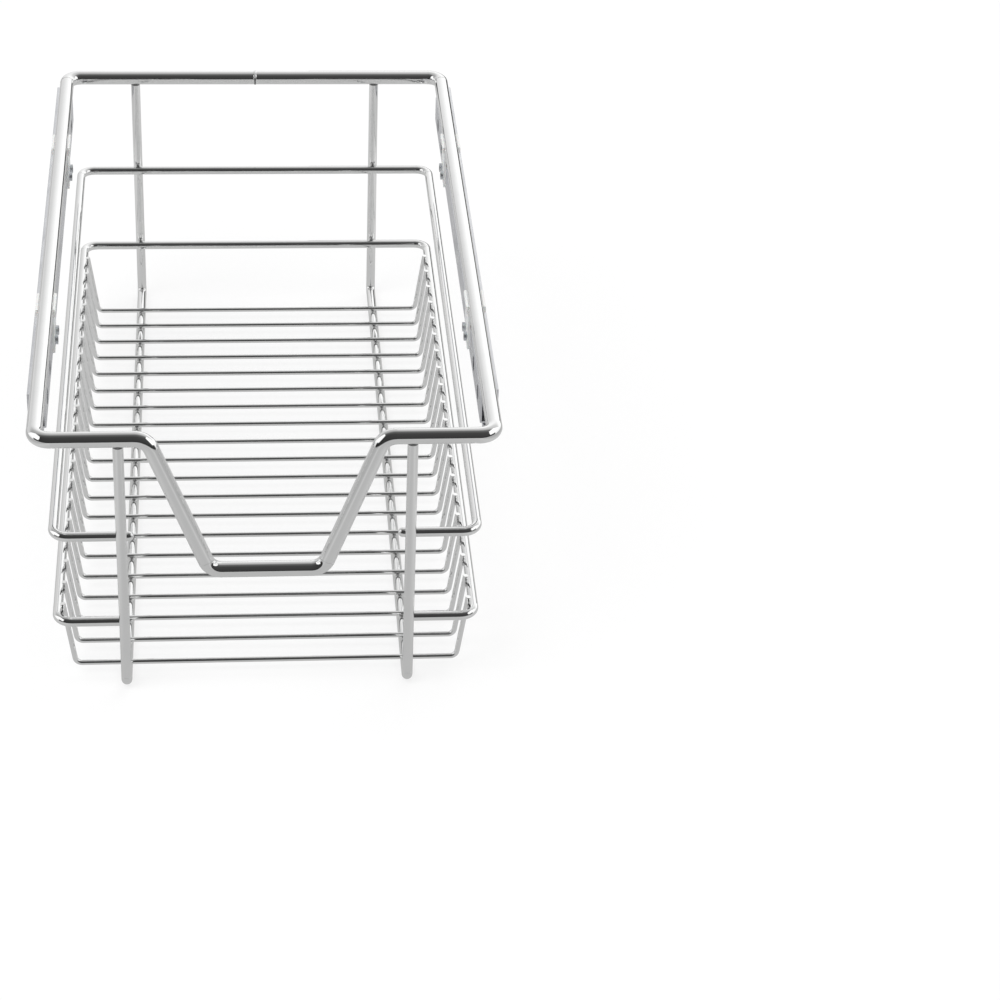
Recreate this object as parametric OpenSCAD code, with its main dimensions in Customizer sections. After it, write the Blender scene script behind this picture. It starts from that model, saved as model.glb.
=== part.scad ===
// Pull-out wire basket for a narrow base cabinet, on a pair of ball-bearing side runners.
// Millimetres. X runs left to right, Y front to back, Z up. The origin is under the middle
// of the basket, on the plane that its lowest rods touch.

/* [Basket] */
// Width over the top rim
basket_w = 259; // [250:0.5:259.5]
// Depth over the top rim
basket_d = 469; // [460:0.5:520]
// Height from the undersides of the support frames to the top of the rim
basket_h = 170.75; // [150:0.25:230]
// How far the welds let two crossing rods sink into each other
weld_sink = 0.3; // [0.1:0.1:0.6]

/* [Top rim] */
// Diameter of the rim rod
rim_rod_d = 9; // [7:0.5:10]
// Bend radius of the four rim corners, on the rod's centreline
rim_corner_r = 9; // [7:0.5:14]
// How far the front bar dips, centreline to centreline
dip_depth = 86; // [40:1:100]
// Width of the dip where it leaves the front bar
dip_top_w = 129; // [105:1:135]
// Width of the dip at its flat bottom
dip_bottom_w = 63; // [40:1:80]
// Bend radius of the dip, on the rod's centreline
dip_bend_r = 9.5; // [7:0.5:14]
// How far the weld bead of the rim's butt joint stands proud
seam_proud = 0.25; // [0.1:0.05:0.6]
// Width of that weld bead
bead_w = 1.5; // [1.2:0.1:3]

/* [Rails] */
// Diameter of the rod that the two rails are bent from
rail_rod_d = 5.5; // [4:0.5:7]
// Distance of the rails' sides inside the rim's sides, between centrelines
rail_inset = 7; // [5:0.5:12]
// Bend radius of the rail corners, on the rod's centreline
rail_corner_r = 8.5; // [4:0.5:10]
// Drop from the rim to the mid rail, between centrelines
mid_rail_drop = 66.5; // [52:0.5:80]
// Drop from the rim to the lower rail, between centrelines
lower_rail_drop = 124; // [95:0.5:130]
// How far the mid rail's ends run past the support frames
mid_rail_stub = 4; // [3.5:0.5:15]
// How far the lower rail's ends run past the middle of the support frames
lower_rail_stub = 2.5; // [0:0.5:10]

/* [Support frames] */
// Diameter of the support rod
support_rod_d = 6; // [4:0.5:8]
// Distance between the two support frames, between centrelines
support_spacing = 160; // [150:1:180]
// Bend radius of the supports' bottom corners, on the rod's centreline
support_bend_r = 5; // [4:0.5:11]

/* [Cross wires] */
// Diameter of a cross wire
wire_d = 3; // [2.5:0.1:4.5]
// Number of cross wires
wire_count = 20; // [8:1:20]
// Distance of the rearmost wire in front of the rim's back bar
rear_wire_setback = 35; // [20:1:60]
// Distance of the foremost wire behind the rim's front bar
front_wire_setback = 14.6; // [13:0.1:40]
// Width of the wire floor, between the bend corners
floor_w = 218; // [190:1:224]
// Bend radius of the wires' floor corners, on the centreline
wire_bend_r = 4; // [2.5:0.5:10]
// Height of the wires' cut ends above the middle of the lower rail
wire_end_rise = 6.4; // [3:0.1:9]

/* [Runners] */
// Room between the rim and each cabinet side
side_room = 2.5; // [1.75:0.25:3.5]
// Height of a runner
runner_h = 27; // [26:0.5:35]
// Thickness of a runner
runner_t = 10; // [10:0.1:12]
// Length of the cabinet rail
runner_len = 400; // [370:1:410]
// How far the basket pulls out
travel = 300; // [150:1:305]
// Thickness of the runner's sheet steel
sheet_t = 1; // [0.8:0.1:1.2]
// Diameter of a bearing ball
ball_d = 4; // [3.5:0.1:4]
// Running clearance of the balls between the two rails, in all
ball_play = 0.04; // [0.02:0.01:0.1]
// Number of balls in one cage
ball_count = 7; // [4:1:7]
// Spacing of the balls in a cage
ball_pitch = 12; // [8:0.5:13]
// Thickness of a ball cage
cage_t = 0.6; // [0.4:0.1:0.8]
// Distance from the rim's front bar to the front end of the runners
runner_setback = 60; // [40:1:62]
// Distance from the rim's centreline down to the top of the runners
runner_drop = 7; // [7:0.5:12]
// Length of the rear buffers
bumper_len = 5; // [3:0.5:8]
// Diameter of the holes for the screws into the cabinet side
screw_hole_d = 4.5; // [3.5:0.5:5]
// Diameter of the holes in the drawer rail that let a screwdriver through
access_hole_d = 9; // [8:0.5:10]
// Distance from the runner's front end to its first screw hole
front_hole_y = 20; // [12:1:28]
// Distance from the runner's front end to the first hole of the rear pair
rear_hole_y = 336; // [325:1:345]
// Spacing of the two holes of a pair
hole_pair = 32; // [20:1:32]

/* [Clips] */
// Length of a clip along the rim
clip_len = 20; // [18:1:24]
// Wall of a clip around the rim rod
clip_wall = 1.3; // [1:0.1:1.8]
// Thickness of a clip's plate on the drawer rail
clip_plate_t = 1.5; // [1.2:0.1:2.5]
// Play between a clip and the rim rod
clip_play = 0.1; // [0.05:0.05:0.2]
// How far a clip's arms reach above the middle of the rim rod
clip_grip = 1.8; // [0.5:0.1:2.5]
// Distance from the runner's front end to the middle of the front clip
front_clip_y = 90; // [80:1:120]
// Distance from the runner's front end to the middle of the rear clip
rear_clip_y = 300; // [250:1:310]
// Thread diameter of the clip screws
clip_screw_d = 3; // [2.5:0.5:3]
// Head diameter of the clip screws
clip_screw_head_d = 5.6; // [5:0.1:6]
// Head height of the clip screws
clip_screw_head_h = 1.8; // [1.2:0.1:2.4]
// Distance between the two screws of a clip
clip_screw_gap = 11; // [9:0.5:12]

/* [Hidden] */
$fn = 48;
overlap = 1;

// A rod swells a little in its bends, by this share; straight lengths reach a little into them
bend_swell = 0.015;
bend_grip = 0.1;
function swollen(r) = r * (1 + bend_swell);

// Each end of the rim rod stops this far from the middle of the weld bead
seam_gap = 0.3;

// Rod radii and the rim's centreline
rim_r = rim_rod_d / 2;
rail_r = rail_rod_d / 2;
support_r = support_rod_d / 2;
wire_r = wire_d / 2;
rim_x = basket_w / 2 - rim_r;
rim_y = basket_d / 2 - rim_r;
rim_z = basket_h - rim_r;

// Rails lie inside the support frames and are welded to them
rail_x = rim_x - rail_inset;
rail_y = rim_y - support_r - rail_r + weld_sink;
mid_rail_z = rim_z - mid_rail_drop;
lower_rail_z = rim_z - lower_rail_drop;

// The floor of the cross wires rests on the support frames
support_z = swollen(support_r);
floor_z = support_z + support_r + wire_r - weld_sink;
rear_wire_y = rim_y - rear_wire_setback;
front_wire_y = front_wire_setback - rim_y;
wire_pitch = (rear_wire_y - front_wire_y) / (wire_count - 1);

// A wire leans outwards against the lower rail and is cut off a little above it
rail_to_wire = rail_r + wire_r - weld_sink;
lean_dx = rail_x - floor_w / 2;
lean_dz = lower_rail_z - floor_z;
wire_lean = atan2(lean_dx, lean_dz) - asin(rail_to_wire / norm([lean_dx, lean_dz]));
wire_side_len = (lower_rail_z + wire_end_rise - floor_z) / cos(wire_lean);

// Runner section, measured from the cabinet side (u) and from the runner's middle height (v)
half_h = runner_h / 2;
track_top = half_h - sheet_t;
track_bottom = track_top - ball_d - ball_play;
ball_v = (track_top + track_bottom) / 2;
lip_h = 1.25;
cabinet_lip_end = track_top - lip_h;
drawer_lip_end = track_bottom + lip_h;
ball_u = runner_t / 2 + 0.1;
lip_gap = 0.1;
cabinet_lip_u = ball_u + ball_d / 2 + lip_gap + sheet_t / 2;
drawer_lip_u = ball_u - ball_d / 2 - lip_gap - sheet_t / 2;
drawer_web_u = runner_t - sheet_t / 2;

// Runner stops and lengths
moving_gap = 0.3;
stop_t = 2;
drawer_rail_len = runner_len - bumper_len - moving_gap;
cage_len = drawer_rail_len - travel - 2 * stop_t - 2 * moving_gap;
cage_start = stop_t + moving_gap + travel / 2;
cage_edge_gap = 0.4;
pocket_play = 0.15;

// Runner place; the cabinet is this wide inside
cabinet_w = basket_w + 2 * side_room;
wall_x = -cabinet_w / 2;
runner_y = -rim_y + runner_setback;
runner_z = rim_z - runner_drop - half_h;
rod_u = side_room + rim_r;
rod_v = rim_z - runner_z;
clip_screw_r = clip_screw_d / 2;
clip_hole_r = clip_screw_r + 0.1;
clip_plate_bottom = -6.5;
clip_screw_tail = 1.5;
cross_slot = [0.8, 1, 3.2];

function two_digits(i) = str(i < 10 ? "0" : "", i);
function wire_name(i) = str("cross_wire_", two_digits(i));

// How much straight rod a bend takes on each side of its corner
function bend_reach(bend_r, turn) = bend_r * tan(turn / 2);

// A bend that starts at the origin along Z and turns towards X
module rod_bend(bend_r, turn, r) {
    translate([bend_r, 0, 0])
        rotate([90, 0, 180])
            rotate_extrude(angle = turn)
                translate([bend_r, 0])
                    circle(swollen(r));
}

// A rod that starts at the origin along Z. Each step is a straight length, and for all but the
// last one the roll, turn and radius of the bend that follows it.
module rod_run(steps, r, i = 0) {
    step = steps[i];
    start = i > 0 ? -bend_grip : 0;
    end = step[0] + (i < len(steps) - 1 ? bend_grip : 0);
    translate([0, 0, start])
        cylinder(h = end - start, r = r);
    if (i < len(steps) - 1)
        translate([0, 0, step[0]])
            rotate(step[1]) {
                rod_bend(step[3], step[2], r);
                translate([step[3], 0, 0])
                    rotate([0, step[2], 0])
                        translate([-step[3], 0, 0])
                            rod_run(steps, r, i + 1);
            }
}

// Both halves of a rod, from its middle outwards to the left and to the right
module both_ways() {
    for (side = [0, 1])
        mirror([side, 0, 0])
            rotate([0, -90, 0])
                children();
}

// Thick rim: one rod, its two ends butt-welded in the middle of the back bar
module top_rim() {
    dip_run = (dip_top_w - dip_bottom_w) / 2;
    turn = atan2(dip_depth, dip_run);
    reach = bend_reach(dip_bend_r, turn);
    half = [
        [dip_bottom_w / 2 - reach, 0, turn, dip_bend_r],
        [norm([dip_depth, dip_run]) - 2 * reach, 180, turn, dip_bend_r],
        [rim_x - dip_top_w / 2 - reach - rim_corner_r, -90, 90, rim_corner_r],
        [2 * (rim_y - rim_corner_r), 0, 90, rim_corner_r],
        [rim_x - rim_corner_r - seam_gap]
    ];
    color("silver") {
        translate([0, -rim_y, rim_z - dip_depth])
            both_ways()
                rod_run(half, rim_r);
        translate([0, rim_y, rim_z])
            weld_bead();
    }
}

// Bead that fills and surrounds the rim's butt joint
module weld_bead() {
    foot_r = rim_r - seam_gap;
    crown_r = rim_r + seam_proud;
    rotate([0, 90, 0])
        rotate_extrude()
            polygon([
                [0, -bead_w / 2],
                [foot_r, -bead_w / 2],
                [crown_r, -bead_w / 5],
                [crown_r, bead_w / 5],
                [foot_r, bead_w / 2],
                [0, bead_w / 2]
            ]);
}

// A rail: a rod bent round the basket inside the support frames, open at the front
module rail(z, stub, domed) {
    end_x = support_spacing / 2 - stub;
    half = [
        [rail_x - rail_corner_r, -90, 90, rail_corner_r],
        [2 * (rail_y - rail_corner_r), 0, 90, rail_corner_r],
        [rail_x - rail_corner_r - end_x]
    ];
    color("silver") {
        translate([0, rail_y, z])
            both_ways()
                rod_run(half, rail_r);
        if (domed)
            for (side = [-1, 1])
                translate([side * end_x, -rail_y, z])
                    sphere(rail_r);
    }
}

module mid_rail() { rail(mid_rail_z, mid_rail_stub, true); }
module lower_rail() { rail(lower_rail_z, lower_rail_stub, false); }

// A U-shaped rod that hangs from the rim's front and back bars and carries the floor
module support_frame(side) {
    upright = rim_z - support_z - support_bend_r;
    path = [
        [upright, 90, 90, support_bend_r],
        [2 * (rim_y - support_bend_r), 0, 90, support_bend_r],
        [upright]
    ];
    color("silver")
        translate([side * support_spacing / 2, 0, rim_z])
            difference() {
                translate([0, -rim_y, 0])
                    rotate([180, 0, 0])
                        mirror([0, 1, 0])
                            rod_run(path, support_r);
                for (end = [-1, 1])
                    translate([-support_rod_d, end * rim_y, 0])
                        rotate([0, 90, 0])
                            cylinder(h = 2 * support_rod_d, r = rim_r - weld_sink);
            }
}

// A cross wire: floor and two leaning sides, whose square-cut ends are welded to the lower rail
module cross_wire(i) {
    turn = 90 - wire_lean;
    floor_reach = bend_reach(wire_bend_r, turn);
    half = [
        [floor_w / 2 - floor_reach, 0, turn, wire_bend_r],
        [wire_side_len - floor_reach]
    ];
    color("silver")
        translate([0, rear_wire_y - (i - 1) * wire_pitch, floor_z])
            both_ways()
                rod_run(half, wire_r);
}

// Draws its children for the left or, in mirror image, for the right side of the cabinet
module on_side(side) {
    mirror([side < 0 ? 0 : 1, 0, 0])
        translate([wall_x, runner_y, runner_z])
            children();
}

// A section in u and v drawn out along the runner, from y to y + length
module along_runner(y, length) {
    translate([0, y + length, 0])
        rotate([90, 0, 0])
            linear_extrude(length)
                children();
}

// A strip of sheet steel between two points of a section, with round ends
module strip(p, q) {
    for (end = [p, q])
        translate(end)
            circle(sheet_t / 2);
    low = [min(p.x, q.x), min(p.y, q.y)];
    high = [max(p.x, q.x), max(p.y, q.y)];
    upright = p.x == q.x;
    pad = upright ? [sheet_t / 2, 0] : [0, sheet_t / 2];
    translate(low - pad)
        square(high - low + 2 * pad);
}

// A channel section: web, two flanges and two lips
module channel(web_u, flange_v, lip_u, lip_end_v) {
    turn = lip_end_v > flange_v ? -1 : 1;
    strip([web_u, -flange_v], [web_u, flange_v]);
    for (s = [-1, 1]) {
        strip([web_u, s * flange_v], [lip_u, s * flange_v]);
        strip([lip_u, s * flange_v], [lip_u, s * (lip_end_v + turn * sheet_t / 2)]);
    }
}

// Places of the screw holes along a runner
function screw_holes() =
    [front_hole_y, front_hole_y + hole_pair, rear_hole_y, rear_hole_y + hole_pair];

// A round hole through a web whose middle is at web_u
module web_hole(web_u, y, d) {
    translate([web_u - sheet_t, y, 0])
        rotate([0, 90, 0])
            cylinder(h = 2 * sheet_t, d = d);
}

// A block that spans both ball tracks, from low_v to high_v above and below the middle
module track_stops(u, width, low_v, high_v, y) {
    for (s = [-1, 1])
        translate([u, y, s > 0 ? low_v : -high_v])
            cube([width, stop_t, high_v - low_v]);
}

// Outer rail, screwed to the cabinet side
module cabinet_rail(side) {
    stop_low = drawer_lip_end + moving_gap;
    color("lightgray")
        on_side(side)
            difference() {
                union() {
                    along_runner(0, runner_len)
                        channel(sheet_t / 2, half_h - sheet_t / 2, cabinet_lip_u, cabinet_lip_end);
                    track_stops(sheet_t / 2, cabinet_lip_u - sheet_t / 2, stop_low, track_top, 0);
                }
                for (y = screw_holes())
                    web_hole(sheet_t / 2, y, screw_hole_d);
            }
}

// Inner rail, clipped to the basket's rim
module drawer_rail(side) {
    stop_u = drawer_lip_u + sheet_t / 2;
    stop_w = cabinet_lip_u - sheet_t / 2 - moving_gap - stop_u;
    stop_y = drawer_rail_len - stop_t;
    color("lightgray")
        on_side(side)
            difference() {
                union() {
                    along_runner(0, drawer_rail_len)
                        channel(drawer_web_u, track_bottom - sheet_t / 2, drawer_lip_u, drawer_lip_end);
                    track_stops(stop_u, stop_w, track_bottom - sheet_t / 2, track_top - moving_gap, stop_y);
                }
                for (y = screw_holes())
                    web_hole(drawer_web_u, y, access_hole_d);
                for (y = clip_screw_places())
                    web_hole(drawer_web_u, y, 2 * clip_hole_r);
            }
}

// Places of the balls along a runner, with the basket pushed in
function ball_places() =
    [for (i = [0:ball_count - 1]) cage_start + cage_len / 2 + (i - (ball_count - 1) / 2) * ball_pitch];

// A strip that keeps one row of balls apart; level is 1 for the upper row, -1 for the lower
module ball_cage(side, level) {
    color("gainsboro")
        on_side(side)
            difference() {
                translate([sheet_t + cage_edge_gap, cage_start, level * ball_v - cage_t / 2])
                    cube([runner_t - 2 * sheet_t - 2 * cage_edge_gap, cage_len, cage_t]);
                for (y = ball_places())
                    translate([ball_u, y, level * ball_v - cage_t])
                        cylinder(h = 2 * cage_t, r = ball_d / 2 + pocket_play);
            }
}

// Two rows of steel balls
module bearing_balls(side) {
    color("white")
        on_side(side)
            for (y = ball_places(), level = [-1, 1])
                translate([ball_u, y, level * ball_v])
                    sphere(d = ball_d);
}

// Rubber buffer in the rear end of the cabinet rail
module rear_bumper(side) {
    bumper_h = 2 * (cabinet_lip_end - moving_gap);
    color("dimgray")
        on_side(side)
            translate([sheet_t, runner_len - bumper_len, -bumper_h / 2])
                cube([runner_t - 2 * sheet_t, bumper_len, bumper_h]);
}

// Places of the clip screws along a runner
function clip_screw_places() =
    [for (clip = [front_clip_y, rear_clip_y], s = [-1, 1]) clip + s * clip_screw_gap / 2];

// Clip on the drawer rail that the rim rod snaps down into
module clip(side, y) {
    bore_r = rim_r + clip_play;
    outer_r = bore_r + clip_wall;
    color("whitesmoke")
        on_side(side)
            difference() {
                along_runner(y - clip_len / 2, clip_len)
                    difference() {
                        union() {
                            translate([rod_u, rod_v])
                                circle(outer_r);
                            translate([runner_t, clip_plate_bottom])
                                square([clip_plate_t, rod_v - clip_plate_bottom]);
                        }
                        translate([rod_u, rod_v])
                            circle(bore_r);
                        translate([rod_u - outer_r - overlap, rod_v + clip_grip])
                            square([2 * (outer_r + overlap), outer_r]);
                    }
                for (s = [-1, 1])
                    translate([runner_t - overlap, y + s * clip_screw_gap / 2, 0])
                        rotate([0, 90, 0])
                            cylinder(h = clip_plate_t + 2 * overlap, r = clip_hole_r);
            }
}

// Cross-head screws that hold the clips on the drawer rail
module clip_screws(side) {
    shank = clip_screw_tail + sheet_t + clip_plate_t;
    color("silver")
        on_side(side)
            for (y = clip_screw_places())
                translate([runner_t + clip_plate_t, y, 0])
                    rotate([0, 90, 0])
                        difference() {
                            union() {
                                translate([0, 0, -shank])
                                    cylinder(h = shank, d = clip_screw_d);
                                cylinder(h = clip_screw_head_h, d = clip_screw_head_d);
                            }
                            cross_recess();
                        }
}

// Cross recess in the top of a clip screw's head
module cross_recess() {
    for (turn = [0, 90])
        rotate(turn)
            translate([-cross_slot.z / 2, -cross_slot.x / 2, clip_screw_head_h - cross_slot.y])
                cube([cross_slot.z, cross_slot.x, cross_slot.y + overlap]);
}

top_rim();
mid_rail();
lower_rail();
support_frame(-1);  // support_frame_left
support_frame(1);  // support_frame_right
for (i = [1:wire_count])
    cross_wire(i);
cabinet_rail(-1);  // cabinet_rail_left
cabinet_rail(1);  // cabinet_rail_right
drawer_rail(-1);  // drawer_rail_left
drawer_rail(1);  // drawer_rail_right
ball_cage(-1, 1);  // upper_ball_cage_left
ball_cage(-1, -1);  // lower_ball_cage_left
ball_cage(1, 1);  // upper_ball_cage_right
ball_cage(1, -1);  // lower_ball_cage_right
bearing_balls(-1);  // bearing_balls_left
bearing_balls(1);  // bearing_balls_right
rear_bumper(-1);  // rear_bumper_left
rear_bumper(1);  // rear_bumper_right
clip(-1, front_clip_y);  // front_clip_left
clip(-1, rear_clip_y);  // rear_clip_left
clip(1, front_clip_y);  // front_clip_right
clip(1, rear_clip_y);  // rear_clip_right
clip_screws(-1);  // clip_screws_left
clip_screws(1);  // clip_screws_right
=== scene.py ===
"""Pull-out wire basket on ball-bearing side runners, dressed for rendering."""

import logging
import math
from collections.abc import Callable, Iterable
from dataclasses import dataclass
from enum import Enum

import bpy
from mathutils import Matrix, Vector


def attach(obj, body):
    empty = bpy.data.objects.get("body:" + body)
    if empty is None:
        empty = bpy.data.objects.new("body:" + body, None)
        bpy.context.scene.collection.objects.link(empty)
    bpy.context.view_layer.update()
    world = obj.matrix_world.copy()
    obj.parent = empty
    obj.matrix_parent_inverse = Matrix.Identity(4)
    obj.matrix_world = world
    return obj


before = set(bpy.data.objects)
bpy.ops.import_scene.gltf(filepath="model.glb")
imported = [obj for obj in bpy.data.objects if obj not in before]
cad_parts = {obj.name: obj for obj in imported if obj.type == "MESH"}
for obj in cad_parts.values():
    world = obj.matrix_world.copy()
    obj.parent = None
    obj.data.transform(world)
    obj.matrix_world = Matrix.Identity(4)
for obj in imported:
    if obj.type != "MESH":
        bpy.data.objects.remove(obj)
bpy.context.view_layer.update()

Span = tuple[float, float]
Point = tuple[float, float, float]
Colour = tuple[float, float, float, float]

MM = 0.001
ORIGIN = (0.0, 0.0, 0.0)
NEAR = 1e-7  # Metres within which two heights are the same.
SMOOTH_ANGLE = math.radians(50)
NOISE_SPAN = (0.3, 0.7)  # The strengths that a noise pattern mostly keeps to.
FALLING = (1.0, 0.0)
MIX_FIRST = 6  # The Mix node's inputs and output for colours.
MIX_SECOND = 7
MIX_RESULT = 2

log = logging.getLogger("basket")


class Side(Enum):
    """The two sides of the cabinet, as the sign of X."""

    LEFT = -1
    RIGHT = 1

    @property
    def word(self) -> str:
        """The side's name as it stands in the node names."""
        return self.name.lower()


class Lie(Enum):
    """How a weld nugget lies between two rods, as the axis that it is turned about."""

    LEVEL = None
    FACING = "X"
    SIDEWAYS = "Y"


# ---------------------------------------------------------------- node trees


class Shader:
    """A material's node tree with short ways to add and join nodes."""

    def __init__(self, name: str) -> None:
        """Starts an empty node material.

        Args:
            name: The material's name.
        """
        self.material = bpy.data.materials.new(name)
        self.material.use_nodes = True
        self.nodes = self.material.node_tree.nodes
        self.links = self.material.node_tree.links
        self.nodes.clear()
        self.output = self.nodes.new("ShaderNodeOutputMaterial")

    def node(self, kind: str, **settings: object) -> bpy.types.Node:
        """Adds a node and sets its properties.

        Args:
            kind: The node's type without the leading "ShaderNode".
            **settings: Properties of the node.

        Returns:
            The new node.
        """
        made = self.nodes.new("ShaderNode" + kind)
        for key, value in settings.items():
            setattr(made, key, value)
        return made

    def feed(self, socket: bpy.types.NodeSocket, value: object) -> None:
        """Links an output to a socket, or sets the socket's own value.

        Args:
            socket: The input socket.
            value: An output socket, a number or a colour.
        """
        if isinstance(value, bpy.types.NodeSocket):
            self.links.new(value, socket)
        else:
            socket.default_value = value

    def place(self) -> bpy.types.NodeSocket:
        """Gives the Object coordinates of the surface."""
        return self.node("TexCoord").outputs["Object"]

    def axes(self) -> dict[str, bpy.types.NodeSocket]:
        """Splits the Object coordinates.

        Returns:
            The value along each axis, by its letter.
        """
        made = self.node("SeparateXYZ")
        self.feed(made.inputs[0], self.place())
        return {axis: made.outputs[axis] for axis in "XYZ"}

    def stretched(self, scale: Point) -> bpy.types.NodeSocket:
        """Gives the Object coordinates, stretched along the axes.

        Args:
            scale: How many times finer the pattern is along X, Y and Z.

        Returns:
            The stretched coordinates.
        """
        mapping = self.node("Mapping")
        self.feed(mapping.inputs["Vector"], self.place())
        mapping.inputs["Scale"].default_value = scale
        return mapping.outputs["Vector"]

    def noise(
        self, scale: float, detail: float = 2.0, stretch: Point = (1.0, 1.0, 1.0)
    ) -> bpy.types.NodeSocket:
        """Adds a noise pattern.

        Args:
            scale: Cells a metre.
            detail: Octaves of the noise.
            stretch: How many times finer the pattern is along X, Y and Z.

        Returns:
            The pattern's strength, from 0 to 1.
        """
        made = self.node("TexNoise")
        self.feed(made.inputs["Vector"], self.stretched(stretch))
        made.inputs["Scale"].default_value = scale
        made.inputs["Detail"].default_value = detail
        return made.outputs["Fac"]

    def sum(self, operation: str, first: object, second: object = 0.0) -> bpy.types.NodeSocket:
        """Adds a sum.

        Args:
            operation: The Math node's operation.
            first: The first term.
            second: The second term.

        Returns:
            The result.
        """
        made = self.node("Math", operation=operation)
        self.feed(made.inputs[0], first)
        self.feed(made.inputs[1], second)
        return made.outputs[0]

    def ranged(
        self,
        value: bpy.types.NodeSocket,
        source: Span,
        target: Span,
    ) -> bpy.types.NodeSocket:
        """Maps one range onto another, and stops at its ends.

        Args:
            value: The value.
            source: The range that it comes from.
            target: The range that it goes to.

        Returns:
            The mapped value.
        """
        made = self.node("MapRange", clamp=True)
        self.feed(made.inputs["Value"], value)
        made.inputs["From Min"].default_value = source[0]
        made.inputs["From Max"].default_value = source[1]
        made.inputs["To Min"].default_value = target[0]
        made.inputs["To Max"].default_value = target[1]
        return made.outputs["Result"]

    def spread(
        self, value: bpy.types.NodeSocket, low: float, high: float
    ) -> bpy.types.NodeSocket:
        """Maps a noise pattern, from weak to strong, onto a range from low to high."""
        return self.ranged(value, NOISE_SPAN, (low, high))

    def blend(
        self, share: bpy.types.NodeSocket, first: object, second: object
    ) -> bpy.types.NodeSocket:
        """Blends two colours.

        Args:
            share: Share of the second colour.
            first: Colour at 0, or an output socket that gives it.
            second: Colour at 1, or an output socket that gives it.

        Returns:
            The blended colour.
        """
        made = self.node("Mix", data_type="RGBA")
        self.feed(made.inputs[0], share)
        self.feed(made.inputs[MIX_FIRST], first)
        self.feed(made.inputs[MIX_SECOND], second)
        return made.outputs[MIX_RESULT]

    def graded(
        self, value: bpy.types.NodeSocket, stops: tuple[Span, ...], smooth: bool
    ) -> bpy.types.NodeSocket:
        """Adds a grey ramp over a value.

        Args:
            value: The value.
            stops: Values in rising order, each with its level.
            smooth: Whether the ramp eases from stop to stop, and is straight otherwise.

        Returns:
            The graded colour.
        """
        first, last = stops[0][0], stops[-1][0]
        made = self.node("ValToRGB")
        made.color_ramp.interpolation = "EASE" if smooth else "LINEAR"
        self.feed(made.inputs[0], self.ranged(value, (first, last), (0.0, 1.0)))
        spots = made.color_ramp.elements
        while len(spots) < len(stops):
            spots.new(0.5)  # The loop below puts it in its place.
        for spot, (at, level) in zip(spots, stops):
            spot.position = (at - first) / (last - first)
            spot.color = grey(level)
        return made.outputs["Color"]

    def bump(
        self,
        height: bpy.types.NodeSocket,
        depth: float,
        under: bpy.types.NodeSocket | None = None,
    ) -> bpy.types.NodeSocket:
        """Turns a strength into relief.

        Args:
            height: The strength.
            depth: Height of the relief in metres.
            under: A relief that this one lies on.

        Returns:
            The bumped normal.
        """
        made = self.node("Bump")
        made.inputs["Strength"].default_value = 1.0
        made.inputs["Distance"].default_value = depth
        self.feed(made.inputs["Height"], height)
        if under is not None:
            self.feed(made.inputs["Normal"], under)
        return made.outputs["Normal"]

    def principled(self, **inputs: object) -> bpy.types.Material:
        """Closes the tree with a Principled shader.

        Args:
            **inputs: Socket names with spaces as underscores, and their values.

        Returns:
            The finished material.
        """
        shader = self.node("BsdfPrincipled")
        for key, value in inputs.items():
            self.feed(shader.inputs[key.replace("_", " ")], value)
        self.links.new(shader.outputs["BSDF"], self.output.inputs["Surface"])
        return self.material

    def glowing(self, colour: object, strength: object) -> bpy.types.Material:
        """Closes the tree with a glow.

        Args:
            colour: The glow's colour, or an output socket that gives it.
            strength: Its strength, or an output socket that gives it.

        Returns:
            The finished material.
        """
        shader = self.node("Emission")
        self.feed(shader.inputs["Color"], colour)
        self.feed(shader.inputs["Strength"], strength)
        self.links.new(shader.outputs["Emission"], self.output.inputs["Surface"])
        return self.material


def grey(level: float) -> Colour:
    """An opaque neutral colour of that level."""
    return (level, level, level, 1.0)


# ---------------------------------------------------------------- finishes


@dataclass(frozen=True)
class ChromePlate:
    """Bright chrome plate over drawn rod, with faint waves and hazy patches.

    Attributes:
        name: The material's name.
        bright: Colour of the clear plate.
        hazy: Colour of the hazy patches.
        roughness: Roughness of the clear plate and of the haze.
        haze_scale: Hazy patches a metre.
        wave_scale: Waves a metre.
        wave_depth: Depth of the waves in metres.
        grain_scale: Grains a metre.
        grain_depth: Depth of the grain in metres.
    """

    name: str = "chrome_plate"
    bright: Colour = (0.965, 0.965, 0.96, 1.0)
    hazy: Colour = (0.915, 0.92, 0.92, 1.0)
    roughness: Span = (0.035, 0.085)
    haze_scale: float = 90.0
    wave_scale: float = 140.0
    wave_depth: float = 0.00002
    grain_scale: float = 2600.0
    grain_depth: float = 0.0000012

    def haze(self, tree: Shader) -> bpy.types.NodeSocket:
        """Adds the pattern of the hazy patches."""
        return tree.noise(self.haze_scale, detail=4.0)

    def waves(self, tree: Shader) -> bpy.types.NodeSocket:
        """Adds the relief of the rod's waves."""
        return tree.bump(tree.noise(self.wave_scale, detail=1.0), self.wave_depth)

    def material(self) -> bpy.types.Material:
        """Builds the plate's node material.

        Returns:
            The material.
        """
        tree = Shader(self.name)
        haze = self.haze(tree)
        return tree.principled(
            Base_Color=tree.blend(haze, self.bright, self.hazy),
            Metallic=1.0,
            Roughness=tree.spread(haze, *self.roughness),
            Normal=tree.bump(tree.noise(self.grain_scale), self.grain_depth, self.waves(tree)),
        )


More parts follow.
